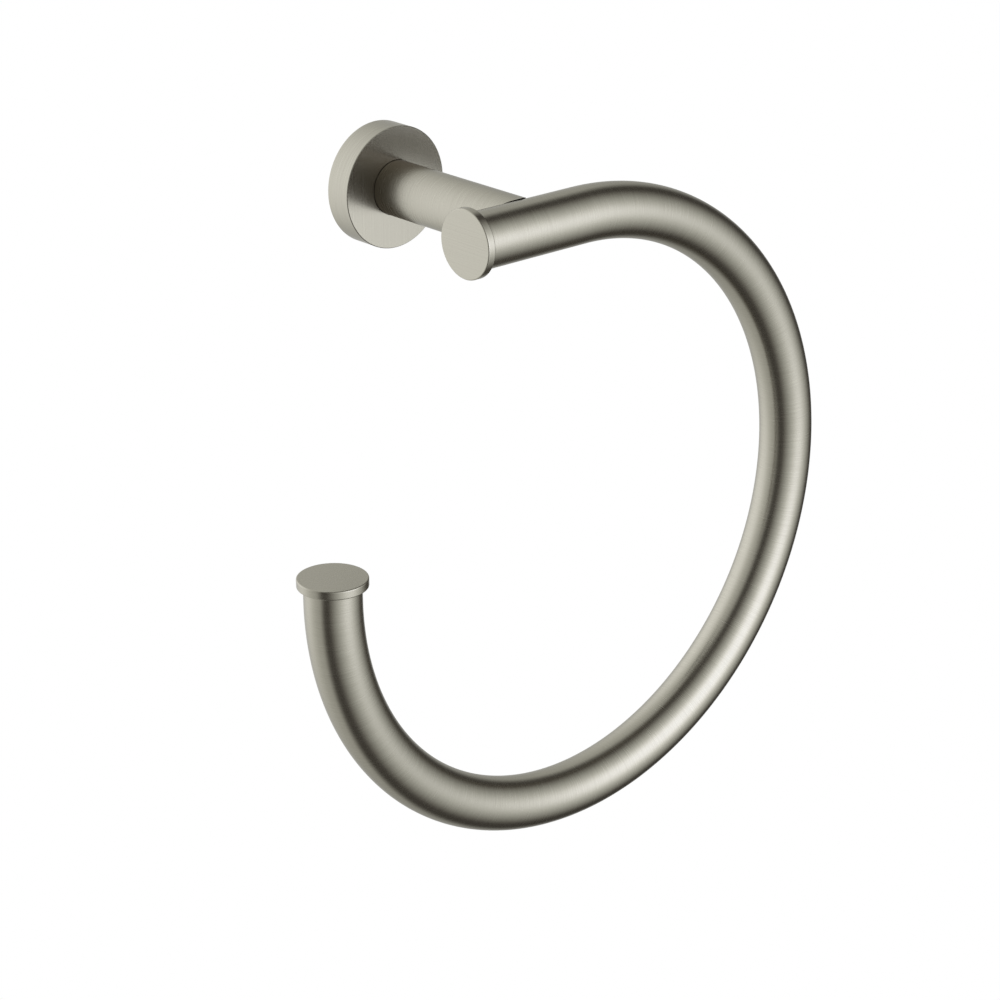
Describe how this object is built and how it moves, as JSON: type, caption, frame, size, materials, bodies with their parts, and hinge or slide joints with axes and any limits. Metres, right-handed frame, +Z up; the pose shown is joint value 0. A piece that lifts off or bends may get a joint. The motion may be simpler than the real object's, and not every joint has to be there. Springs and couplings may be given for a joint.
{
  "type": "towel ring",
  "caption": "Wall-mounted open towel ring: a bent round tube with flat disc end caps, carried by a round post on a round wall rosette with a hidden fixing.",
  "frame": {"origin": "middle of the rosette on the wall plane, between the two wall-screw holes", "axes": "+Y into the wall, -Y out into the room, +Z up, +X to the right as seen from the room"},
  "size_m": [0.22, 0.0826, 0.229],
  "materials": {
    "brushed_nickel": "brushed satin nickel plate, warm grey",
    "plate_zinc": "plain zinc-plated steel, dull",
    "screw_steel": "plain stainless steel fasteners",
    "slug_brass": "turned brass, uncoated"
  },
  "bodies": {
    "root": {"rosette": "brushed_nickel", "wall_plate": "plate_zinc", "grub_screw": "screw_steel", "post": "brushed_nickel", "through_screw": "screw_steel", "washer": "screw_steel", "threaded_slug": "slug_brass", "ring_tube": "brushed_nickel", "upper_end_cap": "brushed_nickel", "lower_end_cap": "brushed_nickel"}
  },
  "joints": []
}
